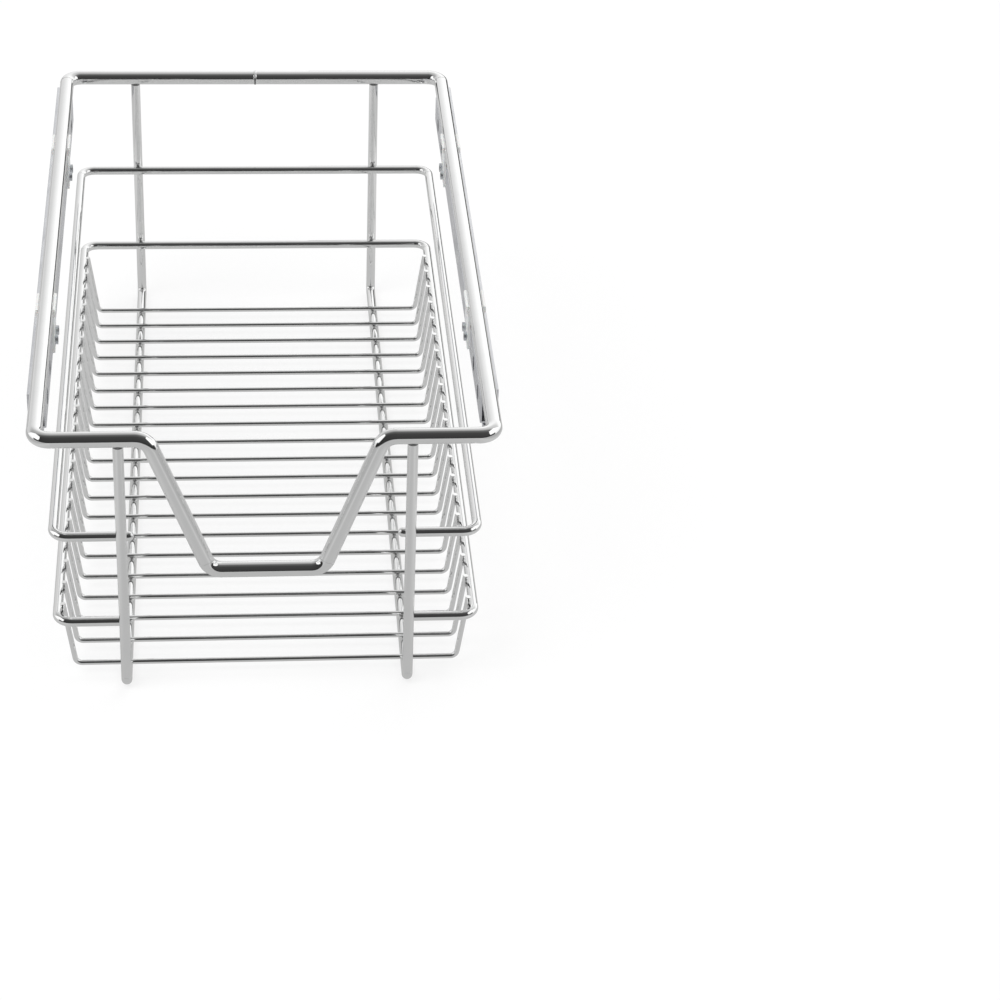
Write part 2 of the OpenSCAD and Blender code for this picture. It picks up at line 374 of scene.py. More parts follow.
@dataclass(frozen=True)
class SeamedChromePlate(ChromePlate):
    """Chrome plate of the rim, with the rough line of the butt weld at its back, painted dark as
    shade on the rim's lower half.

    Attributes:
        seam_half: Half the width of the lumpy seam in metres.
        seam_core: Share of the seam that is lumpy all over.
        line_half: Half the width of the dull line in metres.
        line_core: Share of the line that is dull all over.
        back_y: Y behind which only the rim's back bar lies, in metres.
        seam_z: Height at which the line begins to fade, in metres.
        seam_fade: Height over which it fades, in metres.
        painted_shade_level: Brightness of the line, a painted shade on the rim's lower half.
        dull_rough: Roughness that the line adds.
        lump_scale: Lumps a metre.
        lump_depth: Height of the lumps in metres.
    """

    name: str = "chrome_plate_with_shaded_seam"
    seam_half: float = 0.0011
    seam_core: float = 0.45
    line_half: float = 0.0006
    line_core: float = 0.6
    back_y: float = 0.2
    seam_z: float = 0.1672
    seam_fade: float = 0.001
    painted_shade_level: float = 0.16
    dull_rough: float = 0.3
    lump_scale: float = 1300.0
    lump_depth: float = 0.0004

    def material(self) -> bpy.types.Material:
        """Builds the plate's node material with the seam's darker band.

        Returns:
            The material.
        """
        tree = Shader(self.name)
        haze = self.haze(tree)
        axes = tree.axes()
        away = tree.sum("ABSOLUTE", axes["X"])
        behind = tree.sum("GREATER_THAN", axes["Y"], self.back_y)
        near = tree.ranged(away, (self.seam_half * self.seam_core, self.seam_half), FALLING)
        line = tree.ranged(away, (self.line_half * self.line_core, self.line_half), FALLING)
        # Painted shade: only below seam_z, on the rim's lower half, the line turns dark in
        # colour and rougher.
        under = tree.ranged(axes["Z"], (self.seam_z, self.seam_z + self.seam_fade), FALLING)
        rough_and_shaded_line = tree.sum("MULTIPLY", tree.sum("MULTIPLY", line, behind), under)
        added = tree.sum("MULTIPLY", rough_and_shaded_line, self.dull_rough)
        seam = tree.sum("MULTIPLY", near, behind)
        lumps = tree.sum("MULTIPLY", tree.noise(self.lump_scale), seam)
        plate = tree.blend(haze, self.bright, self.hazy)
        return tree.principled(
            # Painted shade: the line's colour is blended towards dark grey.
            Base_Color=tree.blend(rough_and_shaded_line, plate, grey(self.painted_shade_level)),
            Metallic=1.0,
            Roughness=tree.sum("ADD", added, tree.spread(haze, *self.roughness)),
            Normal=tree.bump(lumps, self.lump_depth, self.waves(tree)),
        )


@dataclass(frozen=True)
class PatchyFinish:
    """A finish with faint patches and a fine relief.

    Attributes:
        name: The material's name.
        base: Colour between the patches.
        patch: Colour of the patches.
        roughness: Roughness between the patches and on them.
        patches: Patches a metre, and octaves of their pattern.
        relief: Bumps a metre, and octaves of their pattern.
        stretch: How many times finer the relief is along X, Y and Z.
        depth: Height of the relief in metres, or 0 for none.
        metal: Whether it is a metal's.
        soft: Share of the light that spreads under the surface.
    """

    name: str
    base: Colour
    patch: Colour
    roughness: Span
    patches: Span
    relief: Span = (1000.0, 2.0)
    stretch: Point = (1.0, 1.0, 1.0)
    depth: float = 0.0
    metal: bool = True
    soft: float = 0.0

    def material(self) -> bpy.types.Material:
        """Builds the finish's node material.

        Returns:
            The material.
        """
        tree = Shader(self.name)
        patches = tree.noise(*self.patches)
        inputs = {
            "Base_Color": tree.blend(patches, self.base, self.patch),
            "Metallic": float(self.metal),
            "Roughness": tree.spread(patches, *self.roughness),
            "Subsurface_Weight": self.soft,
        }
        if self.depth:
            inputs["Normal"] = tree.bump(tree.noise(*self.relief, self.stretch), self.depth)
        return tree.principled(**inputs)


@dataclass(frozen=True)
class WeldedChrome(PatchyFinish):
    """Chrome plate over a weld: duller, lumpy and a little darker, with brighter spots."""

    name: str = "chrome_over_weld"
    base: Colour = grey(0.62)
    patch: Colour = grey(0.8)
    roughness: Span = (0.12, 0.3)
    patches: Span = (900.0, 3.0)
    relief: Span = (900.0, 3.0)
    depth: float = 0.00012


@dataclass(frozen=True)
class ZincPlate(PatchyFinish):
    """Bright zinc plate on rolled sheet, with fine lines along the sheet."""

    base: Colour = (0.80, 0.81, 0.83, 1.0)
    patch: Colour = (0.70, 0.71, 0.74, 1.0)
    roughness: Span = (0.24, 0.4)
    patches: Span = (60.0, 5.0)
    relief: Span = (900.0, 2.0)
    stretch: Point = (1.0, 0.03, 1.0)
    depth: float = 0.000008


@dataclass(frozen=True)
class BearingSteel(PatchyFinish):
    """Polished hard steel with a trace of oil."""

    name: str = "bearing_steel"
    base: Colour = grey(0.82)
    patch: Colour = (0.74, 0.73, 0.70, 1.0)
    roughness: Span = (0.06, 0.16)
    patches: Span = (500.0, 3.0)


@dataclass(frozen=True)
class BlackRubber(PatchyFinish):
    """Moulded black rubber with a fine grain and grey bloom."""

    name: str = "black_rubber"
    base: Colour = grey(0.018)
    patch: Colour = grey(0.045)
    roughness: Span = (0.55, 0.75)
    patches: Span = (220.0, 4.0)
    relief: Span = (3000.0, 2.0)
    depth: float = 0.00002
    metal: bool = False


@dataclass(frozen=True)
class MouldedPlastic(PatchyFinish):
    """White moulded plastic, lightly matt, with flow marks and a spark-eroded grain."""

    name: str = "white_moulded_plastic"
    base: Colour = (0.82, 0.82, 0.81, 1.0)
    patch: Colour = (0.78, 0.78, 0.77, 1.0)
    roughness: Span = (0.36, 0.48)
    patches: Span = (120.0, 3.0)
    relief: Span = (2400.0, 2.0)
    depth: float = 0.000012
    metal: bool = False
    soft: float = 0.05


@dataclass(frozen=True)
class PaleFloor:
    """Seamless pale studio floor, on which the basket's shadow stays faint.

    Attributes:
        name: The material's name.
        level: Brightness of the paper.
        cloud: How much darker its clouds are.
        cloud_scale: Clouds a metre.
        glow: Share of plain white in what the camera sees of it.
    """

    name: str = "pale_floor"
    level: float = 0.97
    cloud: float = 0.005
    cloud_scale: float = 4.0
    glow: float = 0.74

    def material(self) -> bpy.types.Material:
        """Builds the floor's node material.

        Returns:
            The material.
        """
        tree = Shader(self.name)
        clouds = tree.noise(self.cloud_scale)
        paper = tree.node("BsdfDiffuse")
        colour = tree.blend(clouds, grey(self.level), grey(self.level - self.cloud))
        tree.feed(paper.inputs["Color"], colour)
        white = tree.node("Emission")
        white.inputs["Color"].default_value = grey(1.0)
        seen = tree.node("LightPath").outputs["Is Camera Ray"]
        mixed = tree.node("MixShader")
        tree.feed(mixed.inputs[0], tree.sum("MULTIPLY", seen, self.glow))
        tree.links.new(paper.outputs["BSDF"], mixed.inputs[1])
        tree.links.new(white.outputs["Emission"], mixed.inputs[2])
        tree.links.new(mixed.outputs["Shader"], tree.output.inputs["Surface"])
        return tree.material


@dataclass(frozen=True)
class SweepFace:
    """Glow of the sweep that stands round the basket and only bright metal shows.

    It is black above the camera and behind it, passes through grey overhead and
    is white behind the basket, a little greyer to the left.

    Attributes:
        name: The material's name.
        centre_z: Height that angles are measured from, in metres.
        stops: Angle from straight up towards the camera in degrees, and level.
        side_span: X between which the level changes from left to right, in metres.
        sides: Share of the level on the far left and on the far right.
    """

    name: str = "sweep_face"
    centre_z: float = 0.1
    stops: tuple[Span, ...] = (
        (-95.0, 1.0),
        (-62.0, 0.92),
        (-30.0, 0.56),
        (14.0, 0.10),
        (38.0, 0.053),
        (72.0, 0.043),
        (100.0, 0.031),
    )
    side_span: Span = (-1.3, 0.5)
    sides: Span = (0.70, 1.16)

    def material(self) -> bpy.types.Material:
        """Builds the sweep's node material.

        Returns:
            The material.
        """
        tree = Shader(self.name)
        axes = tree.axes()
        ahead = tree.sum("MULTIPLY", axes["Y"], -1.0)
        rise = tree.sum("SUBTRACT", axes["Z"], self.centre_z)
        angle = tree.sum("DEGREES", tree.sum("ARCTAN2", ahead, rise))
        level = tree.graded(angle, self.stops, smooth=True)
        return tree.glowing(level, tree.ranged(axes["X"], self.side_span, self.sides))


@dataclass(frozen=True)
class CardFace:
    """Even glow of a studio card that only bright metal shows.

    Attributes:
        name: The material's name.
        level: Its level.
    """

    name: str
    level: float

    def material(self) -> bpy.types.Material:
        """Builds the card's node material."""
        return Shader(self.name).glowing(grey(1.0), self.level)


@dataclass(frozen=True)
class TableFace:
    """Glow of the table top that only bright metal shows.

    It is brightest a little beside the basket and falls off far to both sides.

    Attributes:
        name: The material's name.
        along: Y in metres from front to back, and level.
        across: Distance from the middle in metres, and share of that level.
    """

    name: str = "table_face"
    along: tuple[Span, ...] = ((-0.3, 0.635), (0.9, 0.755))
    across: tuple[Span, ...] = (
        (0.0, 0.76),
        (0.1, 0.78),
        (0.24, 0.93),
        (0.36, 0.78),
        (0.6, 0.68),
    )

    def material(self) -> bpy.types.Material:
        """Builds the table's node material.

        Returns:
            The material.
        """
        tree = Shader(self.name)
        axes = tree.axes()
        level = tree.graded(axes["Y"], self.along, smooth=False)
        away = tree.sum("ABSOLUTE", axes["X"])
        return tree.glowing(level, tree.graded(away, self.across, smooth=False))


# ---------------------------------------------------------------- bench work


def clear_selection() -> None:
    """Deselects everything in object mode."""
    if bpy.context.object and bpy.context.object.mode != "OBJECT":
        bpy.ops.object.mode_set(mode="OBJECT")
    bpy.ops.object.select_all(action="DESELECT")


def select_edges(obj: bpy.types.Object, wanted: Callable[[Vector, Vector], bool]) -> None:
    """Selects a mesh's edges by the place of their ends. Leaves edit mode on.

    Args:
        obj: The mesh object, which is active.
        wanted: Says from an edge's two ends if it is selected.
    """
    bpy.ops.object.mode_set(mode="EDIT")
    bpy.ops.mesh.select_mode(type="EDGE")
    bpy.ops.mesh.select_all(action="DESELECT")
    bpy.ops.object.mode_set(mode="OBJECT")
    for edge in obj.data.edges:
        ends = [obj.data.vertices[i].co for i in edge.vertices]
        edge.select = wanted(*ends)
    bpy.ops.object.mode_set(mode="EDIT")


def own_place(obj: bpy.types.Object) -> None:
    """Puts an object's place, turn and scale into its mesh.

    Args:
        obj: The mesh object.
    """
    clear_selection()
    obj.select_set(True)
    bpy.context.view_layer.objects.active = obj
    bpy.ops.object.transform_apply(location=True, rotation=True, scale=True)


def copy_at(pattern: bpy.types.Object, place: Point, turn: Point) -> bpy.types.Object:
    """Copies a piece, with a mesh of its own, to a place.

    Args:
        pattern: The piece, modelled about the origin.
        place: Where its origin goes.
        turn: How it is turned there, about X, Y and Z, in degrees.

    Returns:
        The copy, with its place in its mesh.
    """
    made = pattern.copy()
    made.data = pattern.data.copy()
    bpy.context.scene.collection.objects.link(made)
    made.rotation_euler = [math.radians(a) for a in turn]
    made.location = place
    own_place(made)
    return made


def joined(name: str, parts: Iterable[bpy.types.Object]) -> bpy.types.Object:
    """Joins pieces into one object.

    Args:
        name: The name of the whole.
        parts: The pieces.

    Returns:
        The joined object.
    """
    clear_selection()
    pieces = list(parts)
    for piece in pieces:
        piece.select_set(True)
    bpy.context.view_layer.objects.active = pieces[0]
    if len(pieces) > 1:
        bpy.ops.object.join()
    whole = bpy.context.view_layer.objects.active
    whole.name = name
    whole.data.name = name
    return whole


def dress(obj: bpy.types.Object, material: bpy.types.Material) -> None:
    """Gives a piece one material in place of all it had.

    Args:
        obj: The piece.
        material: Its material.
    """
    obj.data.materials.clear()
    obj.data.materials.append(material)
    log.info("dressed %s in %s", obj.name, material.name)


def hand_over(obj: bpy.types.Object, material: bpy.types.Material, body: str) -> None:
    """Finishes a new piece: smooth shading, material and body.

    Args:
        obj: The piece.
        material: Its material.
        body: The body that it moves with.
    """
    clear_selection()
    obj.select_set(True)
    bpy.context.view_layer.objects.active = obj
    bpy.ops.object.shade_smooth_by_angle(angle=SMOOTH_ANGLE)
    dress(obj, material)
    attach(obj, body)
    log.info("built %s, %d faces, on %s", obj.name, len(obj.data.polygons), body)


# ---------------------------------------------------------------- basket


@dataclass(frozen=True)
class RodPlan:
    """Where the rods of the basket run, in millimetres, as the solids have them."""

    rim_y: float = 230.0
    rim_z: float = 166.25
    rim_r: float = 4.5
    support_x: float = 80.0
    support_r: float = 3.0
    support_z: float = 3.045
    rail_x: float = 118.0
    rail_y: float = 224.55
    rail_r: float = 2.75
    mid_rail_z: float = 99.75
    lower_rail_z: float = 42.25
    rear_wire_y: float = 195.0
    front_wire_y: float = -215.4
    wire_count: int = 20
    wire_lean: float = 8.15

    def wire_places(self) -> list[float]:
        """Y of each cross wire, from the back to the front."""
        pitch = (self.rear_wire_y - self.front_wire_y) / (self.wire_count - 1)
        return [self.rear_wire_y - i * pitch for i in range(self.wire_count)]


@dataclass
class WireBasket:
    """The basket's rods under their chrome plate.

    Attributes:
        plan: Where the rods run.
        plate: The finish of every rod but the rim.
        seamed: The finish of the rim.
    """

    plan: RodPlan = RodPlan()
    plate: ChromePlate = ChromePlate()
    seamed: SeamedChromePlate = SeamedChromePlate()

    def build(self) -> None:
        """Gives every rod its chrome plate."""
        plate = self.plate.material()
        dress(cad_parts["top_rim"], self.seamed.material())
        names = ["mid_rail", "lower_rail"]
        names += [f"support_frame_{side.word}" for side in Side]
        names += [f"cross_wire_{i + 1:02d}" for i in range(self.plan.wire_count)]
        for name in names:
            dress(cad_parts[name], plate)


@dataclass(frozen=True)
class Nugget:
    """A flat lump of metal squeezed out where two rods were pressed together.

    Attributes:
        lie: How it lies.
        radius: Its radius in millimetres.
        depth: Its thickness in millimetres.
        seed: Which uneven outline it gets.
        points: Number of points round its edge.
        rounding: How far its edges are rounded, as a share of its thickness.
        uneven: How far its surface strays, in millimetres.
        smoothing: How much that is evened out again.
    """

    lie: Lie
    radius: float
    depth: float
    seed: int
    points: int = 14
    rounding: float = 0.4
    uneven: float = 0.09
    smoothing: float = 0.4

    def build(self) -> bpy.types.Object:
        """Models the lump.

        Returns:
            The lump, about the origin.
        """
        clear_selection()
        bpy.ops.mesh.primitive_cylinder_add(
            vertices=self.points, radius=self.radius * MM, depth=self.depth * MM, location=ORIGIN
        )
        obj = bpy.context.object
        half = self.depth * MM / 2
        select_edges(obj, lambda a, b: abs(a.z - b.z) < NEAR and abs(abs(a.z) - half) < NEAR)
        bpy.ops.mesh.bevel(
            offset=self.depth * self.rounding * MM, segments=3, profile=0.55, affect="EDGES"
        )
        bpy.ops.mesh.select_all(action="SELECT")
        bpy.ops.transform.vertex_random(offset=self.uneven * MM, seed=self.seed)
        bpy.ops.mesh.vertices_smooth(factor=self.smoothing, repeat=1)
        if self.lie is not Lie.LEVEL:
            bpy.ops.transform.rotate(
                value=math.radians(90), orient_axis=self.lie.value, center_override=ORIGIN
            )
        bpy.ops.object.mode_set(mode="OBJECT")
        return obj


@dataclass(frozen=True)
class GrooveBead:
    """A small bead of weld metal that fills a groove between two rods.

    Attributes:
        size: Its width, depth and height in millimetres.
        seed: Which uneven surface it gets.
        uneven: How far its surface strays, in millimetres.
        smoothing: How much that is evened out again.
    """

    size: Point = (3.4, 1.6, 1.8)
    seed: int = 11
    uneven: float = 0.1
    smoothing: float = 0.3

    def build(self) -> bpy.types.Object:
        """Models the bead.

        Returns:
            The bead, about the origin.
        """
        clear_selection()
        bpy.ops.mesh.primitive_ico_sphere_add(subdivisions=2, radius=0.5, location=ORIGIN)
        obj = bpy.context.object
        bpy.ops.object.mode_set(mode="EDIT")
        bpy.ops.mesh.select_all(action="SELECT")
        bpy.ops.transform.resize(value=[side * MM for side in self.size], center_override=ORIGIN)
        bpy.ops.transform.vertex_random(offset=self.uneven * MM, seed=self.seed)
        bpy.ops.mesh.vertices_smooth(factor=self.smoothing, repeat=1)
        bpy.ops.object.mode_set(mode="OBJECT")
        return obj


@dataclass(frozen=True)
class Collar:
    """The fillet that runs round a support's end under the rim. Sizes are in millimetres.

    Attributes:
        plan: Where the rods run.
        height: Its height.
        flare: How far it spreads under the rim.
        rings: Each ring's rise over the last one as a share of the height, and its
            spread over the last one as a share of the flare.
        room: Room between its foot and the support.
        sink: How deep its upper edge sinks into the rim.
        points: Number of points round it.
        edge: How near its top a point counts as part of its upper edge.
    """

    plan: RodPlan = RodPlan()
    height: float = 0.22
    flare: float = 0.25
    rings: tuple[Span, ...] = ((0.35, 0.06), (0.3, 0.22), (0.25, 0.72))
    room: float = 0.03
    sink: float = 0.05
    points: int = 28
    edge: float = 0.01

    def fit(self, obj: bpy.types.Object) -> None:
        """Lifts the fillet's upper edge onto the rim.

        Args:
            obj: The fillet.
        """
        edge = obj.vertex_groups.new(name="edge")
        high = max(v.co.z for v in obj.data.vertices) - self.edge * MM
        edge.add([v.index for v in obj.data.vertices if v.co.z > high], 1.0, "REPLACE")
        lift = obj.modifiers.new("lift", "SHRINKWRAP")
        lift.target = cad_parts["top_rim"]
        lift.vertex_group = edge.name
        lift.wrap_method = "PROJECT"
        lift.use_project_z = True
        lift.use_negative_direction = True
        lift.offset = -self.sink * MM
        bpy.ops.object.modifier_apply(modifier=lift.name)
        obj.vertex_groups.clear()

    def build(self, x: float, y: float) -> bpy.types.Object:
        """Models the fillet.

        Args:
            x: X of the support.
            y: Y of the rim's bar.

        Returns:
            The fillet, in place, its upper edge on the rim.
        """
        clear_selection()
        r = self.plan.support_r + self.room
        foot = self.plan.rim_z - self.plan.rim_r - self.height
        middle = (x * MM, y * MM, foot * MM)
        bpy.ops.mesh.primitive_circle_add(vertices=self.points, radius=r * MM, location=middle)
        obj = bpy.context.object
        bpy.ops.object.transform_apply(location=True)
        bpy.ops.object.mode_set(mode="EDIT")
        bpy.ops.mesh.select_all(action="SELECT")
        for rise, spread in self.rings:
            wider = r + spread * self.flare
            bpy.ops.mesh.extrude_region_move(
                TRANSFORM_OT_translate={"value": (0, 0, rise * self.height * MM)}
            )
            bpy.ops.transform.resize(value=(wider / r, wider / r, 1), center_override=middle)
            r = wider
        bpy.ops.object.mode_set(mode="OBJECT")
        self.fit(obj)
        bpy.ops.object.mode_set(mode="EDIT")
        bpy.ops.mesh.select_all(action="SELECT")
        bpy.ops.mesh.normals_make_consistent(inside=False)
        bpy.ops.object.mode_set(mode="OBJECT")
        return obj


@dataclass
class Welds:
    """The welds of the basket, plated over with the rods. Sizes are in millimetres.

    Attributes:
        plan: Where the rods run.
        floor: The lump under a cross wire.
        floor_sink: How deep its middle lies under the support's top.
        wall: The lump between a cross wire and the lower rail.
        wall_sink: How deep its middle lies in the rail.
        wall_rise: How far it stands above the line where wire and rail touch.
        rail: The lump between a rail and a support.
        rail_sink: How deep its middle lies in the rail.
        bead: The bead in the groove over or under a rail.
        bead_out: How far it lies outside the rail's centre line.
        collar: The fillet at a support's end.
        turn: Degrees that each lump is turned further than the last one.
        body: The body that the welds move with.
        slot: Their material slot; not used.
        finish: Their finish.
        shaded: The finish of the thin fillets under the rim, painted nearly black as the shade
            that falls under the rim.
    """

    plan: RodPlan = RodPlan()
    floor: Nugget = Nugget(Lie.LEVEL, radius=1.8, depth=1.15, seed=3)
    floor_sink: float = 0.1
    wall: Nugget = Nugget(Lie.SIDEWAYS, radius=2.3, depth=1.7, seed=5)
    wall_sink: float = 0.05
    wall_rise: float = 0.6
    rail: Nugget = Nugget(Lie.FACING, radius=2.4, depth=1.1, seed=7)
    rail_sink: float = 0.15
    bead: GrooveBead = GrooveBead()
    bead_out: float = 1.75
    collar: Collar = Collar()
    turn: float = 137.0
    body: str = "basket"
    slot: str = "chrome_rod"
    finish: WeldedChrome = WeldedChrome()
    # Near-black colour on the fillets under the rim: painted shade, not thin plate.
    shaded: WeldedChrome = WeldedChrome("painted_shade_under_rim", grey(0.08), grey(0.3))

    def floor_welds(self, side: Side) -> list[bpy.types.Object]:
        """Welds the cross wires onto a support frame.

        Args:
            side: The support's side.

        Returns:
            The lumps.
        """
        plan = self.plan
        pattern = self.floor.build()
        x = side.value * plan.support_x * MM
        z = (plan.support_z + plan.support_r - self.floor_sink) * MM
        lumps = [
            copy_at(pattern, (x, y * MM, z), (0, 0, self.turn * i))
            for i, y in enumerate(plan.wire_places())
        ]
        bpy.data.objects.remove(pattern)
        return lumps

    def side_welds(self, side: Side) -> list[bpy.types.Object]:
        """Welds the cross wires to a side of the lower rail.

        Args:
            side: The rail's side.

        Returns:
            The lumps.
        """
        plan = self.plan
        pattern = self.wall.build()
        lean = math.radians(plan.wire_lean)
        x = side.value * (plan.rail_x - (plan.rail_r - self.wall_sink) * math.cos(lean)) * MM
        z = (plan.lower_rail_z + plan.rail_r * math.sin(lean) + self.wall_rise) * MM
        lumps = [
            copy_at(pattern, (x, y * MM, z), (self.turn * i, 0, 0))
            for i, y in enumerate(plan.wire_places())
        ]
        bpy.data.objects.remove(pattern)
        return lumps

    def rail_welds(self, side: Side) -> list[bpy.types.Object]:
        """Welds both rails to a support frame, front and back.

        Args:
            side: The support's side.

        Returns:
            The lumps and the beads in the grooves over and under the rails.
        """
        plan = self.plan
        pattern = self.rail.build()
        bead = self.bead.build()
        x = side.value * plan.support_x * MM
        between = (plan.rail_y + plan.rail_r - self.rail_sink) * MM
        groove = (plan.rail_y + self.bead_out) * MM
        pieces = []
        for end in (-1, 1):
            for i, z in enumerate((plan.mid_rail_z, plan.lower_rail_z)):
                turn = (0, self.turn * i, 0)
                pieces.append(copy_at(pattern, (x, end * between, z * MM), turn))
                half_turns = (0, 0, 180 * (i + end))
                for up in (-1, 1):
                    place = (x, end * groove, (z + up * plan.rail_r) * MM)
                    pieces.append(copy_at(bead, place, half_turns))
        bpy.data.objects.remove(pattern)
        bpy.data.objects.remove(bead)
        return pieces

    def build(self) -> None:
        """Builds all the welds."""
        metal = self.finish.material()
        shaded = self.shaded.material()
        for side in Side:
            x = side.value * self.plan.support_x
            collars = [self.collar.build(x, end * self.plan.rim_y) for end in (-1, 1)]
            groups = {
                "floor_welds": (self.floor_welds(side), metal),
                "side_welds": (self.side_welds(side), metal),
                "rail_welds": (self.rail_welds(side), metal),
                "rim_welds": (collars, shaded),
            }
            for name, (pieces, finish) in groups.items():
                hand_over(joined(f"{name}_{side.word}", pieces), finish, self.body)


# ---------------------------------------------------------------- runners


@dataclass(frozen=True)
class RunnerFinishes:
    """The finishes that both runners share.

    Attributes:
        sheet: Finish of the rails.
        strip: Finish of the ball cages.
        screw: Finish of the clips' screws.
        steel: Finish of the balls.
        rubber: Finish of the buffers.
        plastic: Finish of the clips.
    """

    sheet: ZincPlate = ZincPlate("zinc_plated_sheet")
    strip: ZincPlate = ZincPlate("rolled_strip", grey(0.6), grey(0.5), (0.3, 0.45))
    screw: ZincPlate = ZincPlate(
        "zinc_plated_screw", (0.7, 0.72, 0.74, 1.0), (0.6, 0.62, 0.65, 1.0), (0.18, 0.3)
    )
    steel: BearingSteel = BearingSteel()
    rubber: BlackRubber = BlackRubber()
    plastic: MouldedPlastic = MouldedPlastic()


@dataclass
class SideRunner:
    """One side runner with its clips.

    Attributes:
        side: The side that it is on.
        finishes: Its finishes.
    """

    side: Side
    finishes: RunnerFinishes

    def dress(self) -> None:
        """Gives every node of the runner its finish."""
        kinds = (
            (self.finishes.sheet, ("cabinet_rail", "drawer_rail")),
            (self.finishes.strip, ("upper_ball_cage", "lower_ball_cage")),
            (self.finishes.steel, ("bearing_balls",)),
            (self.finishes.rubber, ("rear_bumper",)),
            (self.finishes.plastic, ("front_clip", "rear_clip")),
            (self.finishes.screw, ("clip_screws",)),
        )
        for finish, names in kinds:
            material = finish.material()
            for name in names:
                dress(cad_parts[f"{name}_{self.side.word}"], material)


# ---------------------------------------------------------------- studio


@dataclass(frozen=True)
class Viewpoint:
    """Where the camera stands and how it looks.

    Attributes:
        place: Its place in metres.
        yaw: Turn to the right of straight ahead, in degrees.
        pitch: Tilt above the horizon, in degrees.
        roll: Turn about the line of sight, in degrees.
        focal_px: Focal length in pixels of the frame.
        frame_px: Width of the frame in pixels.
        sensor: Width of its sensor in millimetres.
        reach: How far it sees, in metres.
    """

    place: Point = (-0.017165, -1.588114, 1.008542)
    yaw: float = 6.145
    pitch: float = -32.930
    roll: float = 2.567
    focal_px: float = 2936.112
    frame_px: float = 1000.0
    sensor: float = 36.0
    reach: float = 100.0

    def build(self) -> None:
        """Sets up the camera."""
        yaw, pitch, roll = (math.radians(a) for a in (self.yaw, self.pitch, self.roll))
        ahead = Vector(
            (math.sin(yaw) * math.cos(pitch), math.cos(yaw) * math.cos(pitch), math.sin(pitch))
        )
        level = Vector((math.cos(yaw), -math.sin(yaw), 0.0))
        up = level.cross(ahead)
        right = level * math.cos(roll) + up * math.sin(roll)
        top = up * math.cos(roll) - level * math.sin(roll)
        data = bpy.data.cameras.new("studio_camera")
        data.sensor_width = self.sensor
        data.lens = self.focal_px / self.frame_px * self.sensor
        data.clip_end = self.reach
        camera = bpy.data.objects.new("studio_camera", data)
        bpy.context.scene.collection.objects.link(camera)
        turn = Matrix((right, top, -ahead)).transposed().to_4x4()
        camera.matrix_world = Matrix.Translation(self.place) @ turn
        bpy.context.scene.camera = camera


def out_of_sight(obj: bpy.types.Object, material: bpy.types.Material) -> None:
    """Gives a studio card its face and hides it from all but mirror-like surfaces.

    Args:
        obj: The card.
        material: Its face.
    """
    bpy.context.scene.collection.objects.link(obj)
    obj.data.materials.append(material)
    obj.visible_camera = False
    obj.visible_diffuse = False
    obj.visible_shadow = False
    obj.visible_transmission = False


@dataclass(frozen=True)
class Card:
    """A flat studio card, square to the room.

    Attributes:
        name: Its name.
        low: Its corner with the smallest X, Y and Z.
        high: Its corner with the largest ones, of which one is the same as in low.
        face: Its face.
    """

    name: str
    low: Point
    high: Point
    face: CardFace | TableFace

    def corners(self) -> list[Point]:
        """Lists the corners in order round the card.

        Returns:
            The four corners.
        """
        pairs = list(zip(self.low, self.high))
        first = next(i for i, (low, high) in enumerate(pairs) if low != high)
        second = tuple(high if i == first else low for i, (low, high) in enumerate(pairs))
        fourth = tuple(low if i == first else high for i, (low, high) in enumerate(pairs))
        return [self.low, second, self.high, fourth]

    def build(self) -> None:
        """Builds the card."""
        mesh = bpy.data.meshes.new(self.name)
        mesh.from_pydata(self.corners(), [], [(0, 1, 2, 3)])
        out_of_sight(bpy.data.objects.new(self.name, mesh), self.face.material())


@dataclass(frozen=True)
class Sweep:
    """The curved sheet from the table's front edge over the basket to its back.

    Attributes:
        front: Distance of its front foot in metres.
        back: Distance of its back foot in metres.
        height: Its height in metres.
        half_width: Half its width in metres.
        steps: Number of strips that it is made of.
        face: Its face.
    """

    front: float = 1.12
    back: float = 2.6
    height: float = 1.9
    half_width: float = 5.0
    steps: int = 32
    face: SweepFace = SweepFace()

    def build(self) -> None:
        """Builds the sheet."""
        points = []
        for i in range(self.steps + 1):
            turn = math.pi * i / self.steps
            reach = self.front if turn < math.pi / 2 else self.back
            y, z = -reach * math.cos(turn), self.height * math.sin(turn)
            points += [(-self.half_width, y, z), (self.half_width, y, z)]
        faces = [(2 * i, 2 * i + 1, 2 * i + 3, 2 * i + 2) for i in range(self.steps)]
        mesh = bpy.data.meshes.new("sweep")
        mesh.from_pydata(points, [], faces)
        out_of_sight(bpy.data.objects.new("sweep", mesh), self.face.material())


@dataclass(frozen=True)
class SoftLamp:
    """A soft square lamp that bright metal does not show.

    Attributes:
        name: Its name.
        place: Where it hangs, in metres.
        watts: Its power.
        size: Its side in metres.
        target: The place that it points at, in metres.
    """

    name: str
    place: Point
    watts: float
    size: float = 1.6
    target: Point = (0.0, 0.0, 0.08)

    def build(self) -> None:
        """Hangs the lamp."""
        data = bpy.data.lights.new(self.name, "AREA")
        data.shape = "SQUARE"
        data.size = self.size
        data.energy = self.watts
        lamp = bpy.data.objects.new(self.name, data)
        bpy.context.scene.collection.objects.link(lamp)
        lamp.location = self.place
        aim = Vector(self.target) - Vector(self.place)
        lamp.rotation_euler = aim.to_track_quat("-Z", "Y").to_euler()
        lamp.visible_glossy = False


